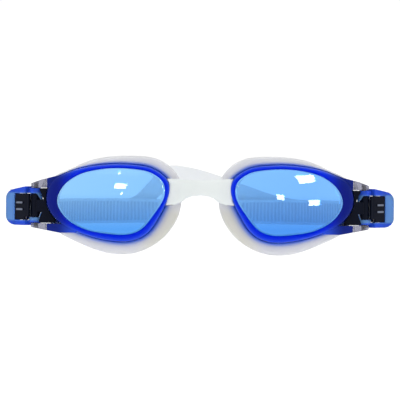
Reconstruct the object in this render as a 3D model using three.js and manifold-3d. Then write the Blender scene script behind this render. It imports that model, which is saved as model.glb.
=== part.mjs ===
// Swim goggles as worn. +X is the wearer's left, the lenses face -Y and +Z is up. Millimetres.
// The origin is midway between the eyes, on the plane where the nose side of the face seal rests.
import * as THREE from 'three';
import { mergeVertices } from 'three/addons/utils/BufferGeometryUtils.js';
import Module from 'manifold-3d';

const wasm = await Module();
wasm.setup();

const GAP = 0.3;
// Half the length of a cutting tool that passes right through a hinge or buckle piece.
const THROUGH = 14;
const SIDES = { right: -1, left: 1 };

// Eyecup outlines seen from the front, as [x, z] on the +X side, each star-shaped about CUP_CENTRE.
const CUP_CENTRE = [36.5, 0.8];
const CUP_STEPS = 44;
const LENS_EDGE = [
  [59.1, 1.5], [56.8, 7.6], [50.3, 12.6], [40, 15.2], [29, 15.4], [20.2, 13.8], [15.1, 9.7],
  [14.7, 4.2], [19.3, -3.8], [24.1, -9.4], [29.3, -11.5], [38, -11.4], [48.2, -9.4], [55.8, -4.7],
];
const RIM_EDGE = [
  [63.6, 1.1], [61.8, 9.4], [54, 13.9], [43, 16.5], [30, 17.1], [19.6, 15.5], [13.2, 10.6],
  [12.5, 6], [16.5, -3.6], [22.1, -11.4], [28.7, -14.3], [38, -14.1], [50.3, -10.9], [59.6, -5.8],
];
const SKIRT_EDGE = [
  [64.7, 1], [62.6, 10.6], [54.4, 15], [44, 19.2], [30, 20.7], [17.2, 19.3], [9.4, 13],
  [7.6, 4], [9.2, -5], [15.8, -14], [26, -19.5], [37, -20], [50, -15.9], [61.4, -9.4],
];

// Depths. The whole eyecup sweeps back towards the temple.
const SWEEP = 13;
const SWEEP_START = 12;
const SWEEP_SPAN = 52;
const SWEEP_POWER = 1.7;
const RIM_FRONT = -20;
const RIM_DEPTH = 9.2;
const RIM_FLARE = 0.3;
const FLANGE_THICK = 1.4;
const FLANGE_SHARE = 0.42;
const LENS_THICK = 2.2;
const LENS_BULGE = 3;
const LENS_SEAT = 0.7;
const CUP_DEPTH = 20;
const BEYOND_CUP = 24;
const SEAL_WIDTH = 4.4;
const SKIRT_WALL = 1.5;
const LIP_FRONT = RIM_DEPTH - FLANGE_THICK - GAP - SKIRT_WALL;

// Hinge at the temple, and the buckle's own frame: u runs along the arm, n out of its front face.
const PIN = [68, -1];
const ARM_ANGLE = Math.PI / 4;
const PIN_RADIUS = 1;
const EAR_RADIUS = 2.3;
const LUG_RADIUS = 2.6;
const LUG_REACH = 0.6;
const EAR_START = 63.6;
const ARM_START = 51;
const ARM_END = PIN[0] + EAR_RADIUS;
// The hinge arms seen from the front: the level of the inner face, and the outer face as [x, z].
const ARMS = {
  upper: { inner: 7.2, outer: [[ARM_START, 14.8], [58, 12.6], [66, 10.5], [ARM_END, 8.9]] },
  lower: { inner: -7.6, outer: [[ARM_START, -11.2], [58, -11.4], [66, -10.0], [ARM_END, -9.2]] },
};
const PIN_LEVELS = [-9.0, 9.0];
const BLOCK_FACES = [-5.1, 0.6];
const LUG_LEVELS = [[4.8, 6.9], [-7.3, -5.2]];
const BARREL_LEVELS = [-4.9, 4.5];
const WINDOW_LEVELS = [-6.4, 4.8];
const WINDOW_END = 9.7;
const BUCKLE_START = 2.8;
const BUCKLE_END = 15.6;
const BUCKLE_FACES = [-4.9, 3.9];
const CHANNEL_TOP = 0.6;
const AXLE_LEVELS = [-7.7, 6.9];
const BORE_LEVELS = [-8, 7.2];
const LEVER = { start: 2.7, end: 9.4, back: 1.2, front: 3.5, pin: [3.9, 2.3], pinRadius: 0.5 };
const STRAP_BAR = { at: [5.3, -2.4], radius: 0.8 };

const BRIDGE_FACES = [-19.2, -14.2];

// Strap.
const STRAP_HEIGHT = 10.6;
const STRAP_THICK = 1.2;
const STRAP_LEVEL = -0.8;
const TURN_RADIUS = STRAP_BAR.radius + GAP + STRAP_THICK / 2;
const LAYER_SPACING = 2 * TURN_RADIUS;
const SEAM_Y = 40;
const BACK_FLAT = 7;
const LOOP = [[80.5, 20], [79.6, SEAM_Y], [77.8, 62], [70, 92], [48, 115], [22, 123.6], [BACK_FLAT, 124.5]];
const BACK_LEVEL = -4.5;
const HUMP = { peak: 15.2, at: -13, left: 20, right: 60 };
const TAIL_END_X = 11.5;

const LOOKS = {
  lens: { color: 0x8ac7ff, roughness: 0.05, metalness: 0 },
  rim: { color: 0x0a2bd8, roughness: 0.12, metalness: 0 },
  skirt: { color: 0xd3d5e0, roughness: 0.45, metalness: 0 },
  strap: { color: 0xe6e9e8, roughness: 0.5, metalness: 0 },
  clear: { color: 0xb7b9cd, roughness: 0.1, metalness: 0 },
  buckle: { color: 0x2f63e0, roughness: 0.12, metalness: 0 },
  black: { color: 0x13171f, roughness: 0.5, metalness: 0 },
  steel: { color: 0x9a9ca0, roughness: 0.3, metalness: 1 },
};

const goggles = new THREE.Group();

function addPiece(name, geometry, look) {
  const mesh = new THREE.Mesh(geometry, new THREE.MeshStandardMaterial(LOOKS[look]));
  mesh.name = name;
  goggles.add(mesh);
}

// A closed geometry from corner points and triangles, turned so that its faces point outwards.
function closedGeometry(points, triangles) {
  let volume = 0;
  for (const [a, b, c] of triangles) {
    const [p, q, r] = [points[a], points[b], points[c]];
    volume += p[0] * (q[1] * r[2] - q[2] * r[1]) + p[1] * (q[2] * r[0] - q[0] * r[2]);
    volume += p[2] * (q[0] * r[1] - q[1] * r[0]);
  }
  const ordered = volume < 0 ? triangles.map(([a, b, c]) => [a, c, b]) : triangles;
  const geometry = new THREE.BufferGeometry();
  geometry.setAttribute('position', new THREE.Float32BufferAttribute(points.flat(), 3));
  geometry.setIndex(ordered.flat());
  return geometry;
}

// A ring of solid material: each station is a closed section, and the last joins the first.
function ringOf(stations) {
  const size = stations[0].length;
  const triangles = [];
  stations.forEach((_, i) => {
    const next = (i + 1) % stations.length;
    for (let k = 0; k < size; k += 1) {
      const [a, b] = [i * size + k, i * size + ((k + 1) % size)];
      const [c, d] = [next * size + ((k + 1) % size), next * size + k];
      triangles.push([a, b, c], [a, c, d]);
    }
  });
  return closedGeometry(stations.flat(), triangles);
}

// A bar of solid material with flat ends: each station is a closed convex section.
function barOf(stations) {
  const size = stations[0].length;
  const last = (stations.length - 1) * size;
  const triangles = [];
  for (let i = 0; i + 1 < stations.length; i += 1) {
    for (let k = 0; k < size; k += 1) {
      const [a, b] = [i * size + k, i * size + ((k + 1) % size)];
      triangles.push([a, b, b + size], [a, b + size, a + size]);
    }
  }
  for (let k = 1; k + 1 < size; k += 1) {
    triangles.push([0, k + 1, k], [last, last + k, last + k + 1]);
  }
  return closedGeometry(stations.flat(), triangles);
}

// Extrudes a shape in (a, b) from one level of c to another, and puts each corner where place says.
function extrude(shape, from, to, place) {
  const raw = new THREE.ExtrudeGeometry(shape, { depth: to - from, bevelEnabled: false, curveSegments: 10 });
  raw.deleteAttribute('normal');
  raw.deleteAttribute('uv');
  const merged = mergeVertices(raw, 1e-4);
  const position = merged.getAttribute('position');
  const points = [];
  for (let i = 0; i < position.count; i += 1) {
    points.push(place(position.getX(i), position.getY(i), position.getZ(i) + from));
  }
  const index = merged.getIndex().array;
  const triangles = [];
  for (let i = 0; i < index.length; i += 3) {
    triangles.push([index[i], index[i + 1], index[i + 2]]);
  }
  return closedGeometry(points, triangles);
}

function toSolid(geometry) {
  const bare = geometry.clone();
  bare.deleteAttribute('normal');
  bare.deleteAttribute('uv');
  const merged = mergeVertices(bare, 1e-4);
  return new wasm.Manifold(new wasm.Mesh({
    numProp: 3,
    vertProperties: new Float32Array(merged.getAttribute('position').array),
    triVerts: new Uint32Array(merged.getIndex().array),
  }));
}

function fromSolid(solid) {
  const mesh = solid.getMesh();
  const geometry = new THREE.BufferGeometry();
  geometry.setAttribute('position', new THREE.Float32BufferAttribute(mesh.vertProperties, 3));
  geometry.setIndex([...mesh.triVerts]);
  return geometry;
}

function subtract(geometry, ...tools) {
  return fromSolid(tools.reduce((rest, tool) => rest.subtract(toSolid(tool)), toSolid(geometry)));
}

function unite(geometry, ...others) {
  return fromSolid(others.reduce((sum, other) => sum.add(toSolid(other)), toSolid(geometry)));
}

function intersect(geometry, other) {
  return fromSolid(toSolid(geometry).intersect(toSolid(other)));
}

function polygon(points) {
  return new THREE.Shape(points.map(([a, b]) => new THREE.Vector2(a, b)));
}

function disc(centre, radius, hole = 0) {
  const shape = new THREE.Shape();
  shape.absarc(centre[0], centre[1], radius, 0, 2 * Math.PI);
  if (hole > 0) {
    const inner = new THREE.Path();
    inner.absarc(centre[0], centre[1], hole, 0, 2 * Math.PI, true);
    shape.holes.push(inner);
  }
  return shape;
}

// A stadium round two centres on the line b = centre b.
function slot(centre, reach, radius) {
  const shape = new THREE.Shape();
  shape.absarc(centre[0], centre[1], radius, Math.PI / 2, 1.5 * Math.PI);
  shape.absarc(centre[0] + reach, centre[1], radius, -Math.PI / 2, Math.PI / 2);
  shape.closePath();
  return shape;
}

function rectangle(a0, a1, b0, b1) {
  return polygon([[a0, b0], [a1, b0], [a1, b1], [a0, b1]]);
}

// ---- Eyecups ----

const sweepAt = (x) => SWEEP * (Math.max(0, x - SWEEP_START) / SWEEP_SPAN) ** SWEEP_POWER;

// Distances from CUP_CENTRE to a smooth closed outline, at CUP_STEPS equal angles.
function outlineRadii(outline) {
  const curve = new THREE.CatmullRomCurve3(outline.map(([x, z]) => new THREE.Vector3(x, z, 0)), true);
  const samples = curve.getPoints(600).map((p) => {
    const [dx, dz] = [p.x - CUP_CENTRE[0], p.y - CUP_CENTRE[1]];
    return [(Math.atan2(dz, dx) + 2 * Math.PI) % (2 * Math.PI), Math.hypot(dx, dz)];
  });
  samples.sort((a, b) => a[0] - b[0]);
  return Array.from({ length: CUP_STEPS }, (_, i) => {
    const angle = (2 * Math.PI * i) / CUP_STEPS;
    const after = samples.findIndex((s) => s[0] >= angle);
    return samples[after < 0 ? 0 : after][1];
  });
}

const lensRadii = outlineRadii(LENS_EDGE);
const rimRadii = outlineRadii(RIM_EDGE);
const skirtRadii = outlineRadii(SKIRT_EDGE);
const flangeRadii = rimRadii.map((r, i) => r + FLANGE_SHARE * (skirtRadii[i] - r));

// The point at a given radius and depth behind the rim's front, on one of the cup's equal angles.
function cupPoint(side, step, radius, depth) {
  const angle = (2 * Math.PI * step) / CUP_STEPS;
  const x = CUP_CENTRE[0] + radius * Math.cos(angle);
  const z = CUP_CENTRE[1] + radius * Math.sin(angle);
  return [side * x, RIM_FRONT + sweepAt(x) + depth, z];
}

// A ring round the eyecup from a function that gives each step's section as [radius, depth] points.
function cupRing(side, sectionAt) {
  const stations = Array.from({ length: CUP_STEPS }, (_, i) => (
    sectionAt(i).map(([radius, depth]) => cupPoint(side, i, radius, depth))
  ));
  return ringOf(stations);
}

function lensGeometry(side) {
  const shares = [1, 0.78, 0.52, 0.26];
  const points = [];
  const faces = [0, LENS_THICK];
  for (const back of faces) {
    for (const share of shares) {
      for (let i = 0; i < CUP_STEPS; i += 1) {
        const depth = GAP + back - LENS_BULGE * (1 - share ** 2);
        points.push(cupPoint(side, i, share * lensRadii[i], depth));
      }
    }
    points.push(cupPoint(side, 0, 0, GAP + back - LENS_BULGE));
  }
  const perFace = shares.length * CUP_STEPS + 1;
  const triangles = [];
  for (let i = 0; i < CUP_STEPS; i += 1) {
    const next = (i + 1) % CUP_STEPS;
    for (let ring = 0; ring + 1 < shares.length; ring += 1) {
      const [a, b] = [ring * CUP_STEPS + i, ring * CUP_STEPS + next];
      const [c, d] = [b + CUP_STEPS, a + CUP_STEPS];
      triangles.push([a, b, c], [a, c, d]);
      triangles.push([perFace + a, perFace + c, perFace + b], [perFace + a, perFace + d, perFace + c]);
    }
    const inner = (shares.length - 1) * CUP_STEPS;
    triangles.push([inner + i, inner + next, perFace - 1]);
    triangles.push([perFace + inner + next, perFace + inner + i, 2 * perFace - 1]);
    triangles.push([next, i, perFace + i], [next, perFace + i, perFace + next]);
  }
  return closedGeometry(points, triangles);
}

function frameSection(i) {
  const [seat, rim, flange] = [lensRadii[i], rimRadii[i], flangeRadii[i]];
  const seatDepth = GAP + LENS_THICK + GAP;
  const flangeFront = RIM_DEPTH - FLANGE_THICK;
  return [
    [seat + GAP, 0], [rim - 0.7, -0.3], [rim, 0.6], [rim + RIM_FLARE, flangeFront],
    [flange, flangeFront], [flange, RIM_DEPTH],
    [seat - LENS_SEAT, RIM_DEPTH], [seat - LENS_SEAT, seatDepth], [seat + GAP, seatDepth],
  ];
}

function skirtSection(i) {
  const [seat, rim, flange, edge] = [lensRadii[i], rimRadii[i], flangeRadii[i], skirtRadii[i]];
  const grooveFront = RIM_DEPTH - FLANGE_THICK - GAP;
  const grooveBack = RIM_DEPTH + GAP;
  const neck = rim + RIM_FLARE + GAP;
  const shoulder = Math.max(flange + GAP + 0.5, edge - 1.2);
  const inside = Math.min(seat + 0.6, flange - 0.6);
  return [
    [neck, LIP_FRONT + 0.4], [neck + 0.5, LIP_FRONT], [shoulder, LIP_FRONT + 0.9],
    [edge, CUP_DEPTH - 5], [edge, CUP_DEPTH - 1.2], [edge - 0.9, CUP_DEPTH],
    [edge - SEAL_WIDTH, CUP_DEPTH + 0.4], [edge - SEAL_WIDTH, CUP_DEPTH - SKIRT_WALL],
    [Math.min(inside, edge - SEAL_WIDTH + 0.6), grooveBack + SKIRT_WALL], [inside, grooveBack],
    [flange + GAP, grooveBack], [flange + GAP, grooveFront], [neck, grooveFront],
  ];
}

// The space an eyecup fills with a gap round it, from in front of the rim to behind the seal.
function cupClearance(side, extra) {
  return cupRing(side, (i) => {
    const [inside, rim, skirt] = [0.4 * lensRadii[i], rimRadii[i] + extra, skirtRadii[i] + extra];
    return [
      [inside, -2], [rim, -2], [rim + RIM_FLARE, LIP_FRONT - extra - 0.2],
      [skirt, LIP_FRONT - extra], [skirt, BEYOND_CUP], [inside, BEYOND_CUP],
    ];
  });
}

// ---- Hinge at the temple ----

const plan = (side) => (a, b, c) => [side * a, b, c];
const elevation = (side) => (a, b, c) => [side * a, c, b];

// Black block seen from the front: two wings along the rim, and a neck in front of the hinge's barrel.
function templeBlockGeometry(side) {
  const shape = polygon([
    [60, 6.9], [67.2, 6.9], [67.2, 6.3], [65.6, 2.4], [67.8, 2.2],
    [67.8, -2.6], [65.8, -2.8], [66.9, -6.0], [66.9, -7.3], [60, -7.3],
  ]);
  const block = extrude(shape, ...BLOCK_FACES, elevation(side));
  const hinge = extrude(disc(PIN, LUG_RADIUS + GAP), -THROUGH, THROUGH, plan(side));
  return subtract(block, cupClearance(side, GAP), hinge);
}

// A hinge arm: round at the pin in plan and widening towards the rim, with its outer face sloping down.
function hingeArm(side, { inner, outer }) {
  const shape = new THREE.Shape();
  shape.absarc(PIN[0], PIN[1], EAR_RADIUS, -Math.PI / 2, Math.PI / 2);
  shape.lineTo(ARM_START, PIN[1] + EAR_RADIUS);
  shape.lineTo(ARM_START, -11.2);
  shape.lineTo(62, -6.3);
  shape.closePath();
  const profile = polygon([...outer, [ARM_END, inner], [ARM_START, inner]]);
  return intersect(
    extrude(shape, -THROUGH - 1, THROUGH + 1, plan(side)),
    extrude(profile, -THROUGH, THROUGH, elevation(side)),
  );
}

// The part of a piece between two values of x.
function between(side, geometry, from, to) {
  const box = rectangle(from, to, -THROUGH, THROUGH);
  return intersect(geometry, extrude(box, -THROUGH - 1, THROUGH + 1, plan(side)));
}

function earGeometry(side, arm) {
  const ear = between(side, hingeArm(side, arm), EAR_START, ARM_END + 1);
  const hole = extrude(disc(PIN, PIN_RADIUS + GAP), -THROUGH, THROUGH, plan(side));
  return subtract(ear, cupClearance(side, GAP), hole);
}

// The rim with the roots of the two arms that carry the clear ears.
function frameGeometry(side) {
  const skirt = cupRing(side, (i) => {
    const [inside, outside, front] = [0.4 * lensRadii[i], skirtRadii[i] + GAP, LIP_FRONT - GAP];
    return [[inside, front], [outside, front], [outside, BEYOND_CUP], [inside, BEYOND_CUP]];
  });
  const hollow = cupRing(side, (i) => {
    const [inside, outside] = [0.3 * lensRadii[i], lensRadii[i] + 1.5];
    return [[inside, -3], [outside, -3], [outside, BEYOND_CUP], [inside, BEYOND_CUP]];
  });
  const roots = Object.values(ARMS).map((arm) => (
    subtract(between(side, hingeArm(side, arm), ARM_START - 1, EAR_START - GAP), skirt, hollow)
  ));
  return unite(cupRing(side, frameSection), ...roots);
}

function swivelPinGeometry(side) {
  return extrude(disc(PIN, PIN_RADIUS), ...PIN_LEVELS, plan(side));
}

function barrelGeometry(side) {
  return extrude(disc(PIN, EAR_RADIUS, PIN_RADIUS + GAP), ...BARREL_LEVELS, plan(side));
}

// ---- Buckle ----

// From the buckle's own (u, n, z) to the goggles' x, y and z.
function armPoint(side, u, n, z) {
  const [cos, sin] = [Math.cos(ARM_ANGLE), Math.sin(ARM_ANGLE)];
  return [side * (PIN[0] + u * cos + n * sin), PIN[1] + u * sin - n * cos, z];
}

const facing = (side) => (u, z, n) => armPoint(side, u, n, z);
const standing = (side) => (u, n, z) => armPoint(side, u, n, z);

// The buckle's front outline: two rails that taper slightly to a rounded end.
function buckleShape() {
  const shape = new THREE.Shape();
  shape.moveTo(BUCKLE_START, -8.5);
  shape.lineTo(11, -8.2);
  shape.quadraticCurveTo(BUCKLE_END - 0.4, -7.6, BUCKLE_END, -2.6);
  shape.lineTo(BUCKLE_END, 1.2);
  shape.quadraticCurveTo(BUCKLE_END - 0.4, 6.2, 11, 6.9);
  shape.lineTo(BUCKLE_START, 7.7);
  shape.closePath();
  return shape;
}

function buckleGeometry(side) {
  const body = extrude(buckleShape(), ...BUCKLE_FACES, facing(side));
  const window = extrude(rectangle(0, WINDOW_END, ...WINDOW_LEVELS), -THROUGH, THROUGH, facing(side));
  const channelShape = rectangle(WINDOW_END - 1, BUCKLE_END + 3, ...WINDOW_LEVELS);
  const channel = extrude(channelShape, -THROUGH, CHANNEL_TOP, facing(side));
  const lugs = LUG_LEVELS.map(([low, high]) => (
    extrude(slot([0, 0], LUG_REACH, LUG_RADIUS), low, high, standing(side))
  ));
  const pinHole = extrude(disc([0, 0], PIN_RADIUS + GAP), -THROUGH, THROUGH, standing(side));
  const leverHole = extrude(disc(LEVER.pin, LEVER.pinRadius + GAP), ...BORE_LEVELS, standing(side));
  const barHole = extrude(disc(STRAP_BAR.at, STRAP_BAR.radius + GAP), ...BORE_LEVELS, standing(side));
  return subtract(unite(subtract(body, window, channel), ...lugs), pinHole, leverHole, barHole);
}

function leverGeometry(side) {
  const [low, high] = [WINDOW_LEVELS[0] + GAP, WINDOW_LEVELS[1] - GAP];
  const notch = [LUG_REACH + LUG_RADIUS + GAP, LUG_LEVELS[1][1] + GAP];
  const outline = polygon([
    [LEVER.start, notch[1]], [notch[0], notch[1]], [notch[0], low],
    [LEVER.end, low], [LEVER.end, high], [LEVER.start, high],
  ]);
  const plate = extrude(outline, LEVER.back, LEVER.front, facing(side));
  const ribs = [-2.3, 0.5].map((z) => (
    extrude(rectangle(4.4, 7.6, z, z + 0.8), LEVER.front - 0.5, LEVER.front + 0.5, facing(side))
  ));
  const hole = extrude(disc(LEVER.pin, LEVER.pinRadius + GAP), low - 1, high + 1, standing(side));
  return subtract(unite(plate, ...ribs), hole);
}

function leverPinGeometry(side) {
  return extrude(disc(LEVER.pin, LEVER.pinRadius), ...AXLE_LEVELS, standing(side));
}

function strapBarGeometry(side) {
  return extrude(disc(STRAP_BAR.at, STRAP_BAR.radius), ...AXLE_LEVELS, standing(side));
}

// ---- Strap ----

// A flat band that stands on edge along a path of [x, y, level of its middle].
function bandOf(path, thickness, height) {
  const stations = path.map(([x, y, level], i) => {
    const before = path[Math.max(0, i - 1)];
    const after = path[Math.min(path.length - 1, i + 1)];
    const length = Math.hypot(after[0] - before[0], after[1] - before[1]);
    const nx = ((before[1] - after[1]) / length) * (thickness / 2);
    const ny = ((after[0] - before[0]) / length) * (thickness / 2);
    const [low, high] = [level - height / 2, level + height / 2];
    return [[x - nx, y - ny, low], [x + nx, y + ny, low], [x + nx, y + ny, high], [x - nx, y - ny, high]];
  });
  return barOf(stations);
}

const smooth = (t) => {
  const s = Math.min(1, Math.max(0, t));
  return s * s * (3 - 2 * s);
};

// Height of the middle of the strap on its way back, which falls slightly.
const baseLevel = (y) => STRAP_LEVEL + (BACK_LEVEL - STRAP_LEVEL) * smooth((y - SEAM_Y) / 50);

// Height of the middle of the rear strap, which rides up over the middle of the back.
function rearLevel(x, y) {
  const span = x < HUMP.at ? HUMP.left : HUMP.right;
  const back = smooth((y - 70) / 30);
  return baseLevel(y) + HUMP.peak * back * smooth(1 - Math.abs(x - HUMP.at) / span);
}

// Plan of half of the head loop, from the buckle to the flat stretch at the middle of the back.
const halfLoop = new THREE.CatmullRomCurve3(LOOP.map(([x, y]) => new THREE.Vector3(x, y, 0)));

// Points [x, y] along the loop on one side, moved inwards, from the seam to the flat stretch.
function loopPoints(side, inwards, count) {
  const seam = 1 / (LOOP.length - 1);
  return Array.from({ length: count + 1 }, (_, i) => {
    const t = seam + ((1 - seam) * i) / count;
    const p = halfLoop.getPoint(t);
    const d = halfLoop.getTangent(t);
    return [side * (p.x - inwards * d.y), p.y + inwards * d.x];
  });
}

function rearStrapGeometry() {
  const left = loopPoints(1, 0, 56);
  const right = loopPoints(-1, 0, 56);
  const flat = [...right, ...left.reverse()];
  return bandOf(flat.map(([x, y]) => [x, y, rearLevel(x, y)]), STRAP_THICK, STRAP_HEIGHT);
}

function tailGeometry(side) {
  const flat = loopPoints(side, LAYER_SPACING, 32).filter(([x]) => Math.abs(x) > TAIL_END_X);
  return bandOf(flat.map(([x, y]) => [x, y, baseLevel(y)]), STRAP_THICK, STRAP_HEIGHT);
}

// Points [x, y] on a smooth curve through the given points.
function curvePoints(points, count) {
  const curve = new THREE.CatmullRomCurve3(points.map(([x, y]) => new THREE.Vector3(x, y, 0)));
  return curve.getPoints(count).map((p) => [p.x, p.y]);
}

// The strap from the seam into the buckle, round its bar and back out to the seam.
function strapTurnGeometry(side) {
  const [u, n] = STRAP_BAR.at;
  const inBuckle = (along, out) => armPoint(1, along, out, 0).slice(0, 2);
  const mouth = BUCKLE_END - 1;
  const seam = SEAM_Y - GAP;
  const outer = curvePoints([
    [LOOP[1][0], seam], LOOP[0], [80.2, 14.6], inBuckle(mouth, n + TURN_RADIUS),
  ], 10);
  const turn = Array.from({ length: 9 }, (_, i) => {
    const angle = Math.PI / 2 + (Math.PI * i) / 8;
    return inBuckle(u + TURN_RADIUS * Math.cos(angle), n + TURN_RADIUS * Math.sin(angle));
  });
  const inner = curvePoints([
    inBuckle(mouth, n - TURN_RADIUS), [76.7, 15.6],
    [LOOP[0][0] - LAYER_SPACING, 22], [LOOP[1][0] - LAYER_SPACING, seam],
  ], 10);
  const path = [...outer, ...turn, ...inner];
  return bandOf(path.map(([x, y]) => [side * x, y, STRAP_LEVEL]), STRAP_THICK, STRAP_HEIGHT);
}

// Silicone loop round both layers, over the seam.
function keeperGeometry(side) {
  const middle = LOOP[1][0] - LAYER_SPACING / 2;
  const [reach, rise] = [LAYER_SPACING / 2 + STRAP_THICK / 2 + 0.45, STRAP_HEIGHT / 2 + 0.4];
  const wall = 1;
  const shape = rectangle(
    middle - reach - wall, middle + reach + wall, STRAP_LEVEL - rise - wall, STRAP_LEVEL + rise + wall,
  );
  shape.holes.push(new THREE.Path(
    rectangle(middle - reach, middle + reach, STRAP_LEVEL - rise, STRAP_LEVEL + rise).getPoints().reverse(),
  ));
  return extrude(shape, SEAM_Y - 3, SEAM_Y + 3, elevation(side));
}

// ---- Nose bridge ----

function bridgeGeometry() {
  const shape = new THREE.Shape();
  shape.moveTo(0, 10.9);
  shape.bezierCurveTo(4, 10.9, 8, 11.3, 17, 11.9);
  shape.lineTo(19, -0.5);
  shape.lineTo(14.6, 0.3);
  shape.bezierCurveTo(11, 0.5, 8.9, 0.5, 7.7, 2.0);
  shape.bezierCurveTo(6.0, 4.2, 3.4, 4.65, 0, 4.65);
  shape.closePath();
  const half = (side) => extrude(shape, ...BRIDGE_FACES, elevation(side));
  const clear = Object.values(SIDES).map((side) => cupClearance(side, GAP));
  return subtract(unite(half(1), half(-1)), ...clear);
}

// ---- Assembly ----

for (const [name, side] of Object.entries(SIDES)) {
  addPiece(`${name}_lens`, lensGeometry(side), 'lens');
  addPiece(`${name}_frame`, frameGeometry(side), 'rim');
  addPiece(`${name}_skirt`, cupRing(side, skirtSection), 'skirt');
  addPiece(`${name}_temple_block`, templeBlockGeometry(side), 'black');
  for (const [place, arm] of Object.entries(ARMS)) {
    addPiece(`${name}_${place}_ear`, earGeometry(side, arm), 'clear');
  }
  addPiece(`${name}_swivel_pin`, swivelPinGeometry(side), 'steel');
  addPiece(`${name}_pivot_barrel`, barrelGeometry(side), 'black');
  addPiece(`${name}_buckle`, buckleGeometry(side), 'buckle');
  addPiece(`${name}_release_lever`, leverGeometry(side), 'black');
  addPiece(`${name}_lever_pin`, leverPinGeometry(side), 'steel');
  addPiece(`${name}_strap_bar`, strapBarGeometry(side), 'steel');
  addPiece(`${name}_strap_turn`, strapTurnGeometry(side), 'strap');
  addPiece(`${name}_strap_tail`, tailGeometry(side), 'strap');
  addPiece(`${name}_strap_keeper`, keeperGeometry(side), 'strap');
}
addPiece('nose_bridge', bridgeGeometry(), 'strap');
addPiece('rear_strap', rearStrapGeometry(), 'strap');

export default goggles;
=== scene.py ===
"""Looks of the swim goggles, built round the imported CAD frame, in metres.

+X is the wearer's left, the lenses face -Y and +Z is up.
"""
import math

import bmesh
import bpy
import numpy as np
from mathutils import Matrix, Vector


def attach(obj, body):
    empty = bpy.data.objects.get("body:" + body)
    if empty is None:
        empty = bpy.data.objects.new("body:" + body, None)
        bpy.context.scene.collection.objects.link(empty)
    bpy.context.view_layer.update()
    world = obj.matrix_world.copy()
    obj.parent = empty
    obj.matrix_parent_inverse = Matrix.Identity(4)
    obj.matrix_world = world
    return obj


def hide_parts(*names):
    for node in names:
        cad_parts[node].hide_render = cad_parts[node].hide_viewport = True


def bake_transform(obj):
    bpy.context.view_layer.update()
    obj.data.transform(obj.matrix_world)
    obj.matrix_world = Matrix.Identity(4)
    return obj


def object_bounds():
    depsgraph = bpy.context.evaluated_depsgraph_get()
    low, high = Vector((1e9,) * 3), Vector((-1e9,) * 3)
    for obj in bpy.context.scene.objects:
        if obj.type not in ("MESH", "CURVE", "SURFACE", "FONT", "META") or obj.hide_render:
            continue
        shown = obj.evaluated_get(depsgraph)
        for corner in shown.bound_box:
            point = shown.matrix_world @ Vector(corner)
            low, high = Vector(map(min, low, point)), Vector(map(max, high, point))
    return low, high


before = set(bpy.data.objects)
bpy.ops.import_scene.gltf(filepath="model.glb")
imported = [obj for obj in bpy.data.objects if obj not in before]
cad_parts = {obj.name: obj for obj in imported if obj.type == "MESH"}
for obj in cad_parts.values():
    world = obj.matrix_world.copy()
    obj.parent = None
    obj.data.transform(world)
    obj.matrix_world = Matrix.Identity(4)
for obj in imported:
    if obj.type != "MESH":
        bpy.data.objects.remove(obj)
cad_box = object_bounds()

MM = 0.001
SIDES = {"right": -1, "left": 1}
CUP_BODY = {"right": "root", "left": "left_eyecup"}

# Eyecup outlines seen from the front, in mm as (x, z) on the +X side, star-shaped about CUP_CENTRE.
CUP_CENTRE = (36.5, 0.8)
LENS_EDGE = [
    (59.1, 1.5), (56.8, 7.6), (50.3, 12.6), (40, 15.2), (29, 15.4), (20.2, 13.8), (15.1, 9.7),
    (14.7, 4.2), (19.3, -3.8), (24.1, -9.4), (29.3, -11.5), (38, -11.4), (48.2, -9.4), (55.8, -4.7),
]
RIM_EDGE = [
    (63.6, 1.1), (61.8, 9.4), (54, 13.9), (43, 16.5), (30, 17.1), (19.6, 15.5), (13.2, 10.6),
    (12.5, 6), (16.5, -3.6), (22.1, -11.4), (28.7, -14.3), (38, -14.1), (50.3, -10.9), (59.6, -5.8),
]
SKIRT_EDGE = [
    (64.7, 1), (62.6, 10.6), (54.4, 15), (44, 19.2), (30, 20.7), (17.2, 19.3), (9.4, 13),
    (7.6, 4), (9.2, -5), (15.8, -14), (26, -19.5), (37, -20), (50, -15.9), (61.4, -9.4),
]

# Depths behind the rim's front, in mm. The whole cup sweeps back towards the temple.
SWEEP, SWEEP_START, SWEEP_SPAN, SWEEP_POWER = 13, 12, 52, 1.7
RIM_FRONT, RIM_DEPTH, FLANGE_THICK, FLANGE_SHARE = -20, 9.2, 1.4, 0.42
LENS_THICK, LENS_BULGE, LENS_SEAT = 2.2, 3, 0.7
CUP_DEPTH = 20

# Temple hinge and buckle, in mm. u runs along the buckle, n out of its front face.
PIN_AT = (68, -1)
ARM_ANGLE = math.radians(45)
PIN_RADIUS, PIN_HOLE, PIN_REACH = 1.0, 1.2, 9.0
EAR_RADIUS = 2.3
EAR_START = 63.6
ARM_START = 51
ARM_END = PIN_AT[0] + EAR_RADIUS
# Each hinge arm seen from the front: the level of its inner face, and its outer face as (x, z).
ARMS = {
    "upper": (7.2, [(ARM_START, 14.8), (58, 12.6), (66, 10.5), (ARM_END, 8.9)]),
    "lower": (-7.6, [(ARM_START, -11.2), (58, -11.4), (66, -10.0), (ARM_END, -9.2)]),
}
BLOCK_FACES = (-5.1, 0.6)
LUG_RADIUS, LUG_REACH = 2.6, 0.6
LUG_LEVELS = [(4.8, 6.9), (-7.3, -5.2)]
WINDOW_LEVELS = (-6.4, 4.8)
BUCKLE_START, WINDOW_END, BUCKLE_END = 2.8, 9.7, 15.6
BUCKLE_DEPTHS = (-4.9, 3.9)
LEVER_DEPTHS = (1.2, 3.6)
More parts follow.
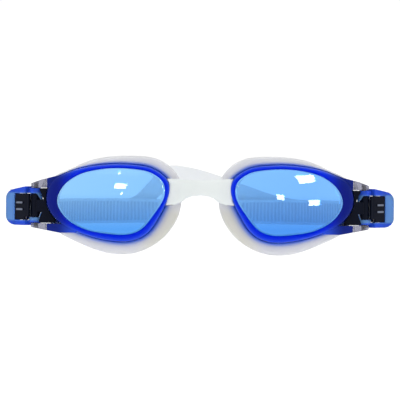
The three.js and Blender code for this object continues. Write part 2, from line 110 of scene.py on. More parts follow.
# The lever's pin and the strap's bar: their place as (u, n), their radius and their bore's.
LEVER_PIN, LEVER_PIN_RADIUS, LEVER_PIN_BORE = (3.9, 2.3), 0.5, 0.65
STRAP_BAR, STRAP_BAR_RADIUS, STRAP_BAR_BORE = (5.3, -2.4), 0.8, 0.95
AXLE_LEVELS, BORE_LEVELS = (-7.6, 6.8), (-7.9, 7.0)

# Strap, in mm.
STRAP_HEIGHT, STRAP_THICK, STRAP_LEVEL, BACK_LEVEL = 10.6, 1.2, -0.8, -4.5
TURN_RADIUS = 1.7
SEAM_Y = 40
# Plan of half of the head loop, on the +X side.
LOOP = [(80.5, 20), (79.6, 40), (77.8, 62), (70, 92), (48, 115), (22, 123.6), (7, 124.5)]
# How far behind the seam the strap has sunk to BACK_LEVEL.
SINK_SPAN = 50
# The strap rides up behind the bridge: how far, where, and its reach to the wearer's right and left.
HUMP_RISE, HUMP_X, HUMP_RIGHT, HUMP_LEFT = 15.2, -13, 20, 60
# The rise grows from nothing to all of it over this stretch behind the face.
HUMP_START, HUMP_GROWTH = 70, 30
TAIL_END_X = 11.5
RIB_PITCH = 1.6
KEEPER_WIDTH, KEEPER_WALL = 6, 1.0


# ---- Curves ----

def smooth_step(t):
    s = min(1.0, max(0.0, t))
    return s * s * (3 - 2 * s)


def catmull(points, count, closed=False):
    """Points along a centripetal Catmull-Rom curve through the given points, count to each span."""
    p = np.array(points, float)
    if closed:
        p = np.vstack([p[-1], p, p[:2]])
    else:
        p = np.vstack([2 * p[0] - p[1], p, 2 * p[-1] - p[-2]])
    found = []
    for a, b, c, d in zip(p, p[1:], p[2:], p[3:]):
        before, here, after = (math.sqrt(np.linalg.norm(v)) for v in (b - a, c - b, d - c))
        start = ((b - a) / before - (c - a) / (before + here)) * here + (c - b)
        end = (c - b) - ((d - b) / (here + after) - (d - c) / after) * here
        for t in np.arange(count) / count:
            cubic = (2 * b - 2 * c + start + end) * t**3
            found.append(b + start * t + (3 * (c - b) - 2 * start - end) * t**2 + cubic)
    if not closed:
        found.append(p[-2])
    return np.array(found)


def tangents(path):
    along = np.gradient(path, axis=0)
    return along / np.linalg.norm(along, axis=1)[:, None]


class Outline:
    """A closed outline as a radius for each angle about CUP_CENTRE."""

    def __init__(self, points):
        offset = catmull(points, 60, closed=True) - np.array(CUP_CENTRE)
        angle = np.arctan2(offset[:, 1], offset[:, 0])
        order = np.argsort(angle)
        self.angle = angle[order]
        self.radius = np.linalg.norm(offset, axis=1)[order]

    def __call__(self, angle):
        return float(np.interp(angle, self.angle, self.radius, period=2 * math.pi))


lens_edge, rim_edge, skirt_edge = Outline(LENS_EDGE), Outline(RIM_EDGE), Outline(SKIRT_EDGE)


def polar(x, z):
    """The angle and distance from CUP_CENTRE of a place seen from the front, on the +X side."""
    across, up = x - CUP_CENTRE[0], z - CUP_CENTRE[1]
    return math.atan2(up, across), math.hypot(across, up)


def flange_edge(angle):
    return rim_edge(angle) + FLANGE_SHARE * (skirt_edge(angle) - rim_edge(angle))


def sweep_at(x):
    return SWEEP * (max(0, x - SWEEP_START) / SWEEP_SPAN) ** SWEEP_POWER


def cup_point(side, angle, radius, depth):
    x = CUP_CENTRE[0] + radius * math.cos(angle)
    z = CUP_CENTRE[1] + radius * math.sin(angle)
    return (side * x * MM, (RIM_FRONT + sweep_at(x) + depth) * MM, z * MM)


def arm_point(side, u, n, z):
    cos, sin = math.cos(ARM_ANGLE), math.sin(ARM_ANGLE)
    return (side * (PIN_AT[0] + u * cos + n * sin) * MM, (PIN_AT[1] + u * sin - n * cos) * MM, z * MM)


def arm_plan(u, n):
    """A point of the buckle in plan, in mm on the +X side."""
    x, y, _ = arm_point(1, u, n, 0)
    return (x / MM, y / MM)


# ---- Mesh helpers ----

def new_object(name, vertices, faces, material):
    mesh = bpy.data.meshes.new(name)
    mesh.from_pydata([tuple(v) for v in vertices], [], faces)
    shaped = bmesh.new()
    shaped.from_mesh(mesh)
    bmesh.ops.recalc_face_normals(shaped, faces=shaped.faces)
    shaped.to_mesh(mesh)
    shaped.free()
    mesh.polygons.foreach_set("use_smooth", [True] * len(mesh.polygons))
    obj = bpy.data.objects.new(name, mesh)
    bpy.context.scene.collection.objects.link(obj)
    obj.data.materials.append(material)
    return obj


def apply_modifiers(obj):
    bpy.context.view_layer.update()
    graph = bpy.context.evaluated_depsgraph_get()
    mesh = bpy.data.meshes.new_from_object(obj.evaluated_get(graph))
    old = obj.data
    obj.modifiers.clear()
    obj.data = mesh
    bpy.data.meshes.remove(old)
    mesh.polygons.foreach_set("use_smooth", [True] * len(mesh.polygons))


def subdivide(obj, levels):
    modifier = obj.modifiers.new("subdivision", "SUBSURF")
    modifier.levels = modifier.render_levels = levels
    apply_modifiers(obj)


def combine(obj, other, operation):
    modifier = obj.modifiers.new("boolean", "BOOLEAN")
    modifier.object = other
    modifier.operation = operation
    modifier.solver = "EXACT"
    apply_modifiers(obj)
    bpy.data.objects.remove(other)


def mirrored_copy(obj, name):
    """The same piece on the other side of the face."""
    mesh = obj.data.copy()
    mesh.transform(Matrix.Scale(-1, 4, (1, 0, 0)))
    mesh.flip_normals()
    copy = bpy.data.objects.new(name, mesh)
    bpy.context.scene.collection.objects.link(copy)
    return copy


def soften(obj, voxel, rounds):
    """Rounds every edge of a moulded piece by an even remesh and a few smoothing passes."""
    remesh = obj.modifiers.new("remesh", "REMESH")
    remesh.mode = "VOXEL"
    remesh.voxel_size = voxel * MM
    smooth = obj.modifiers.new("smooth", "SMOOTH")
    smooth.factor = 0.5
    smooth.iterations = rounds
    apply_modifiers(obj)


def ring_object(name, stations, material, levels=0):
    """A closed ring: each station is a closed section, and the last joins the first."""
    size, count = len(stations[0]), len(stations)
    faces = []
    for i in range(count):
        j = (i + 1) % count
        for k in range(size):
            m = (k + 1) % size
            faces.append((i * size + k, i * size + m, j * size + m, j * size + k))
    obj = new_object(name, [p for s in stations for p in s], faces, material)
    if levels:
        subdivide(obj, levels)
    return obj


def bar_object(name, stations, material):
    """A bar whose closed sections end in flat caps."""
    size, count = len(stations[0]), len(stations)
    faces = [tuple(range(size)), tuple((count - 1) * size + k for k in range(size))]
    for i in range(count - 1):
        for k in range(size):
            m = (k + 1) % size
            faces.append((i * size + k, i * size + m, (i + 1) * size + m, (i + 1) * size + k))
    return new_object(name, [p for s in stations for p in s], faces, material)


def prism(name, outline, low, high, place, material):
    """An outline in (a, b) carried from one level of c to another; place turns (a, b, c) into a point."""
    stations = [[place(a, b, c) for a, b in outline] for c in (low, high)]
    return bar_object(name, stations, material)


def box_outline(a0, a1, b0, b1):
    return [(a0, b0), (a1, b0), (a1, b1), (a0, b1)]


def arc(centre, radius, start, end, count):
    steps = [math.radians(start + (end - start) * i / count) for i in range(count + 1)]
    return [(centre[0] + radius * math.cos(t), centre[1] + radius * math.sin(t)) for t in steps]


def lathe(name, axis_at, profile, material, steps=48):
    """Turns a closed profile of (radius, z) round a vertical axis at (x, y), all in mm."""
    stations = []
    for i in range(steps):
        t = 2 * math.pi * i / steps
        cos, sin = math.cos(t) * MM, math.sin(t) * MM
        stations.append([
            (axis_at[0] * MM + r * cos, axis_at[1] * MM + r * sin, z * MM) for r, z in profile
        ])
    return ring_object(name, stations, material)


# ---- Materials ----

MIX_SOCKETS = ("Factor_Float", "A_Color", "B_Color")


def material_nodes(name):
    material = bpy.data.materials.new(name)
    material.use_nodes = True
    nodes, links = material.node_tree.nodes, material.node_tree.links
    return material, nodes, links, nodes["Principled BSDF"], nodes["Material Output"]


def noise_node(nodes, links, scale, detail=4.0):
    coordinates = nodes.new("ShaderNodeTexCoord")
    noise = nodes.new("ShaderNodeTexNoise")
    noise.inputs["Scale"].default_value = scale
    noise.inputs["Detail"].default_value = detail
    links.new(coordinates.outputs["Object"], noise.inputs["Vector"])
    return noise


def ranged(nodes, links, source, low, high):
    span = nodes.new("ShaderNodeMapRange")
    span.inputs["To Min"].default_value = low
    span.inputs["To Max"].default_value = high
    links.new(source, span.inputs["Value"])
    return span.outputs["Result"]


def bump(nodes, links, height, strength, distance, shader):
    node = nodes.new("ShaderNodeBump")
    node.inputs["Strength"].default_value = strength
    node.inputs["Distance"].default_value = distance
    links.new(height, node.inputs["Height"])
    links.new(node.outputs["Normal"], shader.inputs["Normal"])


def tinted(nodes, links, shader, noise, dark, light):
    ramp = nodes.new("ShaderNodeValToRGB")
    ramp.color_ramp.elements[0].position = 0.3
    ramp.color_ramp.elements[1].position = 0.7
    ramp.color_ramp.elements[0].color = (*dark, 1)
    ramp.color_ramp.elements[1].color = (*light, 1)
    links.new(noise.outputs["Fac"], ramp.inputs["Fac"])
    links.new(ramp.outputs["Color"], shader.inputs["Base Color"])


def clear_plastic(
    name, tint, colour, density, roughness, ior, clearness=1.0, specular=0.5, grain=0.03,
):
    """Clear moulded plastic: a tinted surface, and a body whose colour deepens with what light crosses."""
    material, nodes, links, shader, output = material_nodes(name)
    shader.inputs["Transmission Weight"].default_value = clearness
    shader.inputs["IOR"].default_value = ior
    shader.inputs["Specular IOR Level"].default_value = specular
    noise = noise_node(nodes, links, 220, 3)
    tinted(nodes, links, shader, noise, tuple(0.96 * c for c in tint), tint)
    uneven = ranged(nodes, links, noise.outputs["Fac"], roughness * 0.6, roughness * 1.4)
    links.new(uneven, shader.inputs["Roughness"])
    fine = noise_node(nodes, links, 900, 2)
    bump(nodes, links, fine.outputs["Fac"], grain, 0.0002, shader)
    absorption = nodes.new("ShaderNodeVolumeAbsorption")
    absorption.inputs["Color"].default_value = (*colour, 1)
    absorption.inputs["Density"].default_value = density
    links.new(absorption.outputs["Volume"], output.inputs["Volume"])
    return material


def lens_plastic():
    """Blue polycarbonate, darker downwards with painted shade for the strap and the cup's inside behind it,
    and more faintly darker towards the wearer's left.
    """
    material = clear_plastic("lens_blue", (1, 1, 1), LENS_TINT, 640, 0.003, 1.4, grain=0.005)
    nodes, links = material.node_tree.nodes, material.node_tree.links
    coordinates = nodes.new("ShaderNodeTexCoord")
    split = nodes.new("ShaderNodeSeparateXYZ")
    links.new(coordinates.outputs["Object"], split.inputs["Vector"])
    # Painted shade: the base colour darkens downwards in place of the shade on the strap and cup seen through
    # the lens.
    height = nodes.new("ShaderNodeMapRange")
    height.inputs["From Min"].default_value = -0.009
    height.inputs["From Max"].default_value = 0.005
    links.new(split.outputs["Z"], height.inputs["Value"])
    ramp = nodes.new("ShaderNodeValToRGB")
    ramp.color_ramp.elements[0].color = (0.26, 0.56, 0.86, 1)
    ramp.color_ramp.elements[1].color = (0.90, 0.94, 1, 1)
    links.new(height.outputs["Result"], ramp.inputs["Fac"])
    across = nodes.new("ShaderNodeMapRange")
    across.inputs["From Min"].default_value = -0.03
    across.inputs["From Max"].default_value = 0.045
    links.new(split.outputs["X"], across.inputs["Value"])
    side_ramp = nodes.new("ShaderNodeValToRGB")
    side_ramp.color_ramp.elements[0].color = (1, 1, 1, 1)
    side_ramp.color_ramp.elements[1].color = (0.70, 0.83, 0.98, 1)
    links.new(across.outputs["Result"], side_ramp.inputs["Fac"])
    product = nodes.new("ShaderNodeVectorMath")
    product.operation = "MULTIPLY"
    links.new(ramp.outputs["Color"], product.inputs[0])
    links.new(side_ramp.outputs["Color"], product.inputs[1])
    links.new(product.outputs["Vector"], nodes["Principled BSDF"].inputs["Base Color"])
    return material


def silicone(name, dark, light, clearness, roughness):
    """Translucent moulded silicone with a faint cloudiness and a satin surface."""
    material, nodes, links, shader, _ = material_nodes(name)
    shader.inputs["Transmission Weight"].default_value = clearness
    shader.inputs["IOR"].default_value = 1.41
    shader.inputs["Subsurface Weight"].default_value = 0.5
    shader.inputs["Subsurface Radius"].default_value = (1.0, 1.0, 1.0)
    shader.inputs["Subsurface Scale"].default_value = 0.0015
    cloud = noise_node(nodes, links, 60, 3)
    tinted(nodes, links, shader, cloud, dark, light)
    uneven = ranged(nodes, links, cloud.outputs["Fac"], roughness * 0.8, roughness * 1.2)
    links.new(uneven, shader.inputs["Roughness"])
    grain = noise_node(nodes, links, 2600, 2)
    bump(nodes, links, grain.outputs["Fac"], 0.08, 0.0001, shader)
    return material


def marked(material, attribute, colour):
    """Turns a material towards another colour where a mesh attribute says so."""
    nodes, links = material.node_tree.nodes, material.node_tree.links
    shader = nodes["Principled BSDF"]
    mark = nodes.new("ShaderNodeAttribute")
    mark.attribute_name = attribute
    mix = nodes.new("ShaderNodeMix")
    mix.data_type = "RGBA"
    factor, plain, other = (next(i for i in mix.inputs if i.identifier == n) for n in MIX_SOCKETS)
    links.new(mark.outputs["Fac"], factor)
    links.new(shader.inputs["Base Color"].links[0].from_socket, plain)
    other.default_value = (*colour, 1)
    result = next(o for o in mix.outputs if o.identifier == "Result_Color")
    links.new(result, shader.inputs["Base Color"])
    return material


def frame_plastic():
    """Deep blue polycarbonate, paler towards its outer edge with painted light against the shade of the gap
    by the seal's lip, and darkest in front of the black block.
    """
    material = clear_plastic("frame_blue", (0.0, 0.022, 0.85), FRAME_TINT, 300, 0.07, 1.25, 0.22, 0.05)
    # Painted light: the rim turns paler towards its outer edge, against the shade of the narrow gap by the
    # seal's lip.
    marked(material, "outer", (0.035, 0.11, 0.84))
    return marked(material, "dusk", (0.006, 0.012, 0.17))


def buckle_plastic():
    """Clear blue polycarbonate, deepest along the rails where it is thickest."""
    material = clear_plastic("buckle_blue", (0.17, 0.40, 0.80), BUCKLE_TINT, 160, 0.1, 1.25, 0.5, 0.12)
    return marked(material, "deep", (0.03, 0.12, 0.80))


def strap_silicone():
    material = silicone("strap_silicone", (0.84, 0.86, 0.865), (0.88, 0.895, 0.90), 0.1, 0.42)
    # Painted shade: the strap darkens in the grooves between its ribs.
    return marked(material, "groove", (0.69, 0.725, 0.76))


def bridge_silicone():
    material = silicone("bridge_silicone", (0.78, 0.82, 0.81), (0.82, 0.86, 0.85), 0.1, 0.4)
    return marked(material, "notch", (0.14, 0.10, 0.09))


def skirt_silicone():
    """The face seal's clear silicone, with the rim's blue flange showing through its lip."""
    material = silicone("skirt_silicone", (0.80, 0.805, 0.84), (0.86, 0.865, 0.89), 0.3, 0.32)
    marked(material, "warm", (0.80, 0.79, 0.72))
    marked(material, "border", (0.60, 0.60, 0.63))
    return marked(material, "veil", (0.12, 0.30, 0.92))


def black_plastic():
    material, nodes, links, shader, _ = material_nodes("black_nylon")
    shader.inputs["Specular IOR Level"].default_value = 0.06
    grain = noise_node(nodes, links, 3200, 4)
    tinted(nodes, links, shader, grain, (0.002, 0.003, 0.009), (0.004, 0.006, 0.015))
    worn = noise_node(nodes, links, 260, 3)
    links.new(ranged(nodes, links, worn.outputs["Fac"], 0.28, 0.5), shader.inputs["Roughness"])
    bump(nodes, links, grain.outputs["Fac"], 0.25, 0.0001, shader)
    # Painted highlight: the rib tops are lightened where they catch the light.
    return marked(material, "wear", (0.16, 0.18, 0.24))


def pin_steel():
    material, nodes, links, shader, _ = material_nodes("pin_steel")
    shader.inputs["Metallic"].default_value = 1.0
    grain = noise_node(nodes, links, 4000, 2)
    tinted(nodes, links, shader, grain, (0.10, 0.085, 0.08), (0.20, 0.18, 0.17))
    links.new(ranged(nodes, links, grain.outputs["Fac"], 0.22, 0.42), shader.inputs["Roughness"])
    return material


LENS_TINT = (0.031, 0.602, 0.977)
FRAME_TINT = (0.032, 0.538, 0.968)
BUCKLE_TINT = (0.01, 0.35, 1.0)
LOOKS = {
    "lens": lens_plastic(),
    "frame": frame_plastic(),
    "buckle": buckle_plastic(),
    "ear": clear_plastic("ear_clear", (0.38, 0.38, 0.46), (0.6, 0.6, 0.7), 60, 0.06, 1.35, 0.85, 0.25),
    "skirt": skirt_silicone(),
    "bridge": bridge_silicone(),
    "strap": strap_silicone(),
    "black": black_plastic(),
    "steel": pin_steel(),
}


def finish_piece(obj, node, look, body=None):
    """Puts a finished piece in place of its CAD node, on a body unless it's blended."""
    obj.data.materials.clear()
    obj.data.materials.append(LOOKS[look])
    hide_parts(node)
    if body:
        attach(obj, body)


# ---- Eyecups ----

CUP_STEPS = 72


def cup_stations(side, section):
    angles = [2 * math.pi * i / CUP_STEPS - math.pi for i in range(CUP_STEPS)]
    return [[cup_point(side, t, r, d) for r, d in section(t)] for t in angles]


def dome(share):
    """Depth of the lens's front face at a share of the way from its centre to its edge."""
    return 0.1 - LENS_BULGE * (1 - share**2)


def lens_piece(name, side):
    steps = 120
    shares = [i / 24 for i in range(24)] + [0.98]
    angles = [2 * math.pi * i / steps for i in range(steps)]
    front = [(s, dome(s)) for s in shares[1:]] + [(0.992, 0.14)]
    edge = [(1.0, 0.5), (1.0, LENS_THICK - 0.3)]
    back = [(0.985, LENS_THICK)] + [(s, dome(s) + LENS_THICK) for s in reversed(shares[1:-1])]
    rings = front + edge + back
    vertices = [cup_point(side, t, s * lens_edge(t), d) for s, d in rings for t in angles]
    vertices.append(cup_point(side, 0, 0, dome(0)))
    vertices.append(cup_point(side, 0, 0, dome(0) + LENS_THICK))
    faces = []
    for r in range(len(rings) - 1):
        for i in range(steps):
            j = (i + 1) % steps
            faces.append((r * steps + i, r * steps + j, (r + 1) * steps + j, (r + 1) * steps + i))
    last = (len(rings) - 1) * steps
    for i in range(steps):
        j = (i + 1) % steps
        faces.append((i, j, len(vertices) - 2))
        faces.append((last + i, last + j, len(vertices) - 1))
    return new_object(name, vertices, faces, LOOKS["lens"])


def frame_section(t):
    lens, rim, flange = lens_edge(t), rim_edge(t), flange_edge(t)
    front, back, seat = RIM_DEPTH - FLANGE_THICK, RIM_DEPTH, LENS_THICK + 0.15
    crest = (lens + rim) / 2
    return [
        (lens + 0.08, 0.5), (lens + 0.12, 0.1), (lens + 0.4, -0.22), (crest, -0.42), (rim - 0.5, -0.25),
        (rim - 0.08, 0.25), (rim, 1.2), (rim + 0.15, front - 3), (rim + 0.28, front - 0.4),
        (rim + 0.5, front), (flange - 0.3, front), (flange - 0.05, front + 0.2), (flange - 0.05, back - 0.2),
        (flange - 0.3, back), (lens - 0.3, back), (lens - LENS_SEAT, back - 0.3),
        (lens - LENS_SEAT, seat + 1.2),
        (lens - LENS_SEAT + 0.05, seat + 0.2), (lens - LENS_SEAT + 0.3, seat), (lens - 0.1, seat),
        (lens + 0.08, seat - 0.3),
    ]


def skirt_section(t):
    lens, rim, flange, edge = lens_edge(t), rim_edge(t), flange_edge(t), skirt_edge(t)
    groove_front, groove_back = RIM_DEPTH - FLANGE_THICK - 0.12, RIM_DEPTH + 0.12
    lip = groove_front - 1.3
    room = edge - rim
    inside = min(lens + 0.6, flange - 0.5)
    wall = max(edge - 1.7, inside + 0.2)
    return [
        (rim + 0.34, groove_front - 0.1), (rim + 0.3, lip + 0.3), (rim + 0.45, lip - 0.1),
        (rim + 0.6 + 0.22 * room, lip - 0.15), (rim + 0.72 * room, lip + 0.35),
        (edge - 0.3, lip + 1.6), (edge - 0.1, lip + 3.4), (edge - 0.25, CUP_DEPTH - 7),
        (edge - 0.1, CUP_DEPTH - 3.6), (edge + 0.02, CUP_DEPTH - 2.0), (edge - 0.02, CUP_DEPTH - 0.9),
        (edge - 0.5, CUP_DEPTH - 0.15),
        (edge - 1.6, CUP_DEPTH + 0.12), (edge - 3.2, CUP_DEPTH + 0.3), (edge - 4.4, CUP_DEPTH + 0.42),
        (edge - 4.7, CUP_DEPTH + 0.1), (edge - 4.3, CUP_DEPTH - 0.35), (edge - 3.0, CUP_DEPTH - 0.8),
        (wall - 0.3, CUP_DEPTH - 1.8), (wall, CUP_DEPTH - 3.6), (wall - 0.1, CUP_DEPTH - 6.5),
        (min(wall - 0.2, inside + 1.2), groove_back + 2.0), (inside + 0.1, groove_back + 1.0),
        (inside - 0.2, groove_back + 0.5), (inside, groove_back), (flange - 0.2, groove_back),
        (flange + 0.12, groove_back - 0.15), (flange + 0.12, groove_front + 0.15),
        (flange - 0.1, groove_front),
    ]


def mark(obj, attribute, share_at):
    """Stores a share from 0 to 1 at each point of a mesh, worked out from the point's place in mm."""
    values = obj.data.attributes.new(attribute, "FLOAT", "POINT")
    for i, vertex in enumerate(obj.data.vertices):
        values.data[i].value = share_at(*(v / MM for v in vertex.co))


def mark_skirt(skirt, side):
    """Marks the blue flange seen through the lip, the seal's outer border and its warmer nose side."""
    def veil(x, y, z):
        angle, radius = polar(side * x, z)
        depth = y - RIM_FRONT - sweep_at(side * x)
        rim = rim_edge(angle) + 0.3
        fade = 1 - smooth_step((radius - rim) / (0.9 * (flange_edge(angle) - rim) + 0.3))
        return fade * (1 - smooth_step((depth - RIM_DEPTH) / 2))

    def border(x, y, z):
        angle, radius = polar(side * x, z)
        return 0.7 * smooth_step((radius - skirt_edge(angle) + 0.5) / 0.4)

    def warm(x, y, z):
        return smooth_step((28 - side * x) / 10) * smooth_step((1 - z) / 5)

    for attribute, share_at in (("veil", veil), ("border", border), ("warm", warm)):
        mark(skirt, attribute, share_at)


def build_eyecup(side_name, side):
    body = CUP_BODY[side_name]
    lens = lens_piece(f"{side_name}_lens_shell", side)
    finish_piece(lens, f"{side_name}_lens", "lens", body)
    skirt = ring_object(f"{side_name}_face_seal", cup_stations(side, skirt_section), LOOKS["skirt"], 1)
    mark_skirt(skirt, side)
    finish_piece(skirt, f"{side_name}_skirt", "skirt", body)


# ---- Temple hinge, made on the +X side and mirrored to the other ----

THROUGH = 14
BEHIND_RIM, PAST_CUP = 5.7, 24


def upright(a, b, c):
    return (a * MM, b * MM, c * MM)


def elevation(a, b, c):
    return (a * MM, c * MM, b * MM)


def facing(u, z, n):
    return arm_point(1, u, n, z)


def standing(u, n, z):
    return arm_point(1, u, n, z)


def cup_ring(section):
    return ring_object("tool", cup_stations(1, section), LOOKS["black"])


def cup_clearance(gap):
    """The space that the eyecup fills with a gap round it, used to cut what butts against it."""
    def section(t):
        core, rim, edge = 0.4 * lens_edge(t), rim_edge(t), skirt_edge(t)
        return [
            (core, -2), (rim + gap, -2), (rim + 0.3 + gap, 5.4), (edge + gap, 5.6), (edge + gap, PAST_CUP),
            (core, PAST_CUP),
        ]
    return cup_ring(section)


def behind_rim(t):
    core, edge = 0.4 * lens_edge(t), skirt_edge(t) + 0.15
    return [(core, BEHIND_RIM), (edge, BEHIND_RIM), (edge, PAST_CUP), (core, PAST_CUP)]


def inside_rim(t):
    core, edge = 0.3 * lens_edge(t), lens_edge(t) + 1.3
    return [(core, -3), (edge, -3), (edge, PAST_CUP), (core, PAST_CUP)]


def arm_between(name, place, start, end, look):
    """A hinge arm from x = start to x = end: round at the pin in plan, its outer face sloping down."""
    inner, outer = ARMS[place]
    low, high, inwards = (inner, 20, -1) if inner > 0 else (-20, inner, 1)
    plan = arc(PIN_AT, EAR_RADIUS, -90, 90, 24)
    plan += [(ARM_START, PIN_AT[1] + EAR_RADIUS), (ARM_START, -11.2), (62, -6.3)]
    arm = prism(name, plan, low, high, upright, LOOKS[look])
    x, z = zip(*outer)
    at = [start, *[v for v in x if start < v < end], end]
    profile = [(v, float(np.interp(v, x, z))) for v in at]
    profile += [(end, inner + inwards), (start, inner + inwards)]
    combine(arm, prism("profile", profile, -THROUGH, THROUGH, elevation, LOOKS[look]), "INTERSECT")
    return arm


def painted_light_share(x, y, z):
    """How far out a point is between the lens's edge and the rim's: the share of painted light on the rim."""
    angle, radius = polar(x, z)
    lens, rim = lens_edge(angle), rim_edge(angle)
    return smooth_step((radius - lens - 0.35 * (rim - lens)) / (0.75 * (rim - lens)))


def frame_piece(name):
    """The rim with the roots of its two hinge arms."""
    rim = ring_object(name, cup_stations(1, frame_section), LOOKS["frame"], 1)
    for place in ARMS:
        root = arm_between("root", place, ARM_START, EAR_START - 0.1, "frame")
        combine(root, cup_ring(behind_rim), "DIFFERENCE")
        combine(root, cup_ring(inside_rim), "DIFFERENCE")
        soften(root, 0.16, 4)
        combine(rim, root, "UNION")
    mark(rim, "dusk", lambda x, y, z: 0.9 * smooth_step((x - 50) / 10))
    # Painted light on the rim's outer edge, lightening the shade in the gap by the lip.
    mark(rim, "outer", painted_light_share)
    return rim


def temple_block_piece(name):
    """Two wings along the rim, and a neck in front of the hinge's barrel."""
    outline = [
        (60, 6.95), (66.3, 6.95), (66.7, 6.5), (65.8, 4.6), (64.8, 2.4), (67.9, 2.1),
        (67.9, -2.7), (65.5, -2.9), (66.1, -4.4), (66.9, -6.6), (66.6, -7.35), (60, -7.35),
    ]
    block = prism(name, outline, *BLOCK_FACES, elevation, LOOKS["black"])
    combine(block, cup_clearance(0.1), "DIFFERENCE")
    room = arc(PIN_AT, LUG_RADIUS + 0.2, 0, 352.5, 47)
    combine(block, prism("hinge", room, -THROUGH, THROUGH, upright, LOOKS["black"]), "DIFFERENCE")
    soften(block, 0.15, 3)
    return block


def ear_piece(name, place):
    ear = arm_between(name, place, EAR_START, ARM_END + 0.5, "ear")
    combine(ear, cup_clearance(0.1), "DIFFERENCE")
    hole = prism("hole", arc(PIN_AT, PIN_HOLE, 0, 352.5, 47), -THROUGH, THROUGH, upright, LOOKS["ear"])
    combine(ear, hole, "DIFFERENCE")
    soften(ear, 0.13, 3)
    return ear


def pin_profile(radius, low, high, chamfer):
    core = 0.02
    return [
        (core, low - 0.1), (radius - 2 * chamfer, low - 0.05), (radius - chamfer, low),
        (radius, low + chamfer), (radius, high - chamfer), (radius - chamfer, high),
        (radius - 2 * chamfer, high + 0.05), (core, high + 0.1),
    ]


# Where the buckle's blue lugs reach down into notches of the black barrel, as (x, z) outlines.
KEYS = {
    "upper": [(62, 1.5), (65.8, 1.5), (68.3, 5.1), (68.3, 6.2), (62, 6.2)],
    "lower": [(62, -2.2), (65.9, -2.2), (67.2, -5.4), (67.2, -6.2), (62, -6.2)],
}


def barrel_piece(name):
    low, high, chamfer = -4.95, 4.55, 0.2
    inner, outer = PIN_HOLE, EAR_RADIUS
    profile = [
        (inner, low + chamfer), (inner + chamfer, low), (outer - chamfer, low), (outer, low + chamfer),
        (outer, high - chamfer), (outer - chamfer, high), (inner + chamfer, high), (inner, high - chamfer),
    ]
    barrel = lathe(name, PIN_AT, profile, LOOKS["black"])
    for outline in KEYS.values():
        combine(barrel, prism("notch", outline, -THROUGH, THROUGH, elevation, LOOKS["black"]), "DIFFERENCE")
    return barrel


# ---- Buckle, made on the +X side and mirrored to the other ----

BUCKLE_FRONT = [
    (BUCKLE_START, -8.5), (9.5, -8.5), (11.4, -8.2), (13.2, -7.4), (14.6, -6.1), (15.35, -4.6),
    (BUCKLE_END, -3.0), (BUCKLE_END, 0.9), (15.35, 2.6), (14.6, 4.1), (13.2, 5.4), (11.4, 6.2), (9.5, 6.6),
    (BUCKLE_START, 7.7),
]
BUCKLE_PLAN = [
    (BUCKLE_START, -4.9), (BUCKLE_START, 3.9), (13.9, 3.9), (14.9, 3.75), (15.4, 3.4), (BUCKLE_END, 2.8),
    (BUCKLE_END, -3.6), (15.2, -4.5), (14.4, -4.9),
]


def key_piece(outline):
    """A wedge of the lug's round that reaches into the barrel's notch."""
    key = prism("key", arc((0, 0), LUG_RADIUS, 0, 352.5, 47), -5.5, 5.1, standing, LOOKS["buckle"])
    inward = 0.15 if outline[0][1] > 0 else -0.15
    shifted = [(x - 0.12, z + inward) for x, z in outline]
    combine(key, prism("cut", shifted, -THROUGH, THROUGH, elevation, LOOKS["buckle"]), "INTERSECT")
    return key


def buckle_piece(name):
    look = LOOKS["buckle"]
    body = prism(name, BUCKLE_FRONT, *BUCKLE_DEPTHS, facing, look)
    combine(body, prism("plan", BUCKLE_PLAN, -THROUGH, THROUGH, standing, look), "INTERSECT")
    window = prism("window", box_outline(0, WINDOW_END, *WINDOW_LEVELS), -THROUGH, THROUGH, facing, look)
    combine(body, window, "DIFFERENCE")
    channel = box_outline(WINDOW_END - 1, BUCKLE_END + 3, *WINDOW_LEVELS)
    combine(body, prism("channel", channel, -THROUGH, 0.6, facing, look), "DIFFERENCE")
    for low, high in LUG_LEVELS:
        lug = arc((0, 0), LUG_RADIUS, 90, 270, 24) + arc((LUG_REACH, 0), LUG_RADIUS, -90, 90, 24)
        combine(body, prism("lug", lug, low, high, standing, look), "UNION")
    for outline in KEYS.values():
        combine(body, key_piece(outline), "UNION")
    bores = [((0, 0), PIN_HOLE, -THROUGH, THROUGH)]
    bores += [(LEVER_PIN, LEVER_PIN_BORE, *BORE_LEVELS), (STRAP_BAR, STRAP_BAR_BORE, *BORE_LEVELS)]
    for at, radius, low, high in bores:
        combine(body, prism("hole", arc(at, radius, 0, 348.75, 31), low, high, standing, look), "DIFFERENCE")
    soften(body, 0.16, 3)
    mark(body, "deep", lambda x, y, z: smooth_step((abs(z + 0.8) - 5.2) / 1.2))
    return body


def rib_highlight_share(x, y, z):
    """The tops of the lever's ribs, lightened with a painted highlight."""
    out = ((x - PIN_AT[0]) - (y - PIN_AT[1])) * math.sqrt(0.5)
    return smooth_step((out - 3.85) / 0.3)


def lever_piece(name):
    look = LOOKS["black"]
    low, high = WINDOW_LEVELS[0] + 0.2, WINDOW_LEVELS[1] - 0.2
    outline = [(2.6, -4.9), (3.5, -4.9), (3.5, low), (9.5, low), (9.5, high), (2.6, high)]
    lever = prism(name, outline, *LEVER_DEPTHS, facing, look)
    lip = [(2.9, 1.3), (2.45, 1.3), (1.8, 2.2), (1.1, 2.8), (1.1, 3.5), (2.9, 3.5)]
    combine(lever, prism("lip", lip, -4.9, high, standing, look), "UNION")
    for z in (-2.3, 0.5):
        combine(lever, prism("rib", box_outline(4.3, 7.9, z, z + 0.8), 3.0, 4.3, facing, look), "UNION")
    bore = arc(LEVER_PIN, LEVER_PIN_BORE, 0, 345, 23)
    hole = prism("hole", bore, low - 1, high + 1, standing, look)
    combine(lever, hole, "DIFFERENCE")
    soften(lever, 0.12, 2)
    # Painted highlight along the tops of the ribs.
    mark(lever, "wear", rib_highlight_share)
    return lever


def pin_piece(name, at, radius, levels, chamfer):
    return lathe(name, at, pin_profile(radius, *levels, chamfer), LOOKS["steel"], 40)


